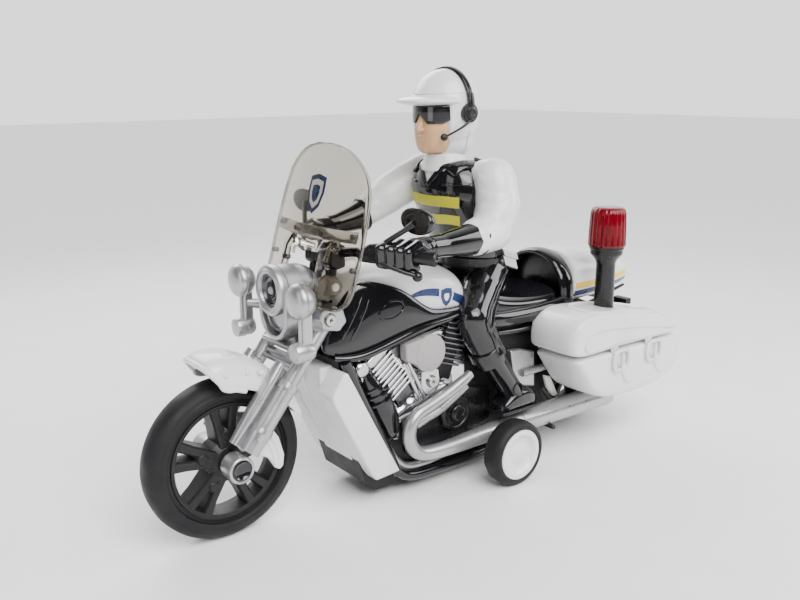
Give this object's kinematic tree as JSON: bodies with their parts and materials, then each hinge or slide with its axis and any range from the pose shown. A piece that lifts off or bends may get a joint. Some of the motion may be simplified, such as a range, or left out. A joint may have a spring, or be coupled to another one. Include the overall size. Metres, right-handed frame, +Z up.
{
  "type": "toy motorcycle with rider",
  "caption": "Toy police touring motorcycle with a seated rider, windshield, saddlebags, beacon and two outrigger drive wheels driven by a geared motor.",
  "frame": {"origin": "on the ground, at the centre of the toy's footprint", "axes": "+X forward, +Y the bike's left, +Z up"},
  "size_m": [0.298, 0.105, 0.2004],
  "materials": {
    "white_plastic": "glossy white moulded plastic",
    "black_gloss": "high-gloss black plastic",
    "black_matte": "matte black plastic",
    "silver_plastic": "satin silver lacquer on plastic",
    "bright_silver": "bright vacuum-plated plastic",
    "tyre_rubber": "matte black soft tyre",
    "smoke_clear": "smoke-tinted clear plastic",
    "red_clear": "transparent red plastic",
    "lamp_lens": "dark reflector with a grey LED",
    "skin": "flesh-tone soft plastic",
    "steel": "drawn steel",
    "nylon": "natural nylon",
    "board": "printed circuit board",
    "cell": "sleeved dry cell"
  },
  "bodies": {
    "bike": {"auxiliary_lamps": "silver_plastic", "batteries": "cell", "battery_door": "black_matte", "beacon_lens": "red_clear", "beacon_post": "black_matte", "chassis_left": "black_matte", "chassis_right": "black_matte", "circuit_board": "board", "engine_left": "bright_silver", "engine_right": "bright_silver", "exhaust_left": "silver_plastic", "exhaust_right": "silver_plastic", "fairing_left": "black_gloss", "fairing_right": "black_gloss", "fork": "silver_plastic", "front_fender": "white_plastic", "gearbox": "black_matte", "handlebar": "black_matte", "headlamp": "silver_plastic", "headlamp_lens": "lamp_lens", "leg_shield_left": "white_plastic", "leg_shield_right": "white_plastic", "mirrors": "black_matte", "motor": "steel", "radiator": "white_plastic", "rear_fender": "black_matte", "rider_arm_left": "white_plastic", "rider_arm_right": "white_plastic", "rider_gloves": "black_gloss", "rider_legs": "black_gloss", "rider_torso": "black_gloss", "saddlebag_left": "white_plastic", "saddlebag_lid_left": "white_plastic", "saddlebag_lid_right": "white_plastic", "saddlebag_right": "white_plastic", "screws": "steel", "seat": "black_gloss", "seat_hoop": "black_gloss", "speaker": "black_matte", "tail_cover": "white_plastic", "tank_cover": "white_plastic", "wheel_axles": "steel", "windshield": "smoke_clear"},
    "front_wheel": {"front_rim": "black_matte", "front_tyre": "tyre_rubber"},
    "rear_wheel": {"rear_rim": "black_matte", "rear_tyre": "tyre_rubber"},
    "drive_wheels": {"drive_axle": "steel", "outrigger_hub_left": "white_plastic", "outrigger_hub_right": "white_plastic", "outrigger_tyre_left": "tyre_rubber", "outrigger_tyre_right": "tyre_rubber"},
    "second_gear": {"second_gear": "nylon"},
    "first_gear": {"first_gear": "nylon"},
    "motor_shaft": {"motor_pinion": "nylon"},
    "switch": {"power_switch": "black_matte"},
    "head": {"rider_head": "skin", "rider_helmet": "white_plastic", "rider_glasses": "black_gloss", "rider_headset": "black_gloss"}
  },
  "joints": [
    {"name": "front_wheel_spin", "type": "hinge", "parent": "bike", "child": "front_wheel", "pos_m": [0.113, 0, 0.036], "axis": [0, 1, 0], "continuous": true},
    {"name": "rear_wheel_spin", "type": "hinge", "parent": "bike", "child": "rear_wheel", "pos_m": [-0.1065, 0, 0.036], "axis": [0, 1, 0], "continuous": true},
    {"name": "drive_spin", "type": "hinge", "parent": "bike", "child": "drive_wheels", "pos_m": [-0.0208, 0, 0.0164], "axis": [0, 1, 0], "continuous": true},
    {"name": "second_gear_spin", "type": "hinge", "parent": "bike", "child": "second_gear", "pos_m": [-0.01485, 0, 0.02671], "axis": [0, 1, 0], "continuous": true},
    {"name": "first_gear_spin", "type": "hinge", "parent": "bike", "child": "first_gear", "pos_m": [-0.00295, 0, 0.02671], "axis": [0, 1, 0], "continuous": true},
    {"name": "motor_spin", "type": "hinge", "parent": "bike", "child": "motor_shaft", "pos_m": [0.00895, 0, 0.02671], "axis": [0, 1, 0], "continuous": true},
    {"name": "switch_slide", "type": "slide", "parent": "bike", "child": "switch", "axis": [1, 0, 0], "range_m": [0, 0.003]},
    {"name": "head_turn", "type": "hinge", "parent": "bike", "child": "head", "pos_m": [-0.0115, 0, 0.165], "axis": [0, 0, 1], "range_deg": [-35, 35]}
  ],
  "couplings": [
    {"joint": "second_gear_spin", "follows": "drive_spin", "ratio": -2.4},
    {"joint": "first_gear_spin", "follows": "drive_spin", "ratio": 5.76},
    {"joint": "motor_spin", "follows": "drive_spin", "ratio": -13.824}
  ]
}
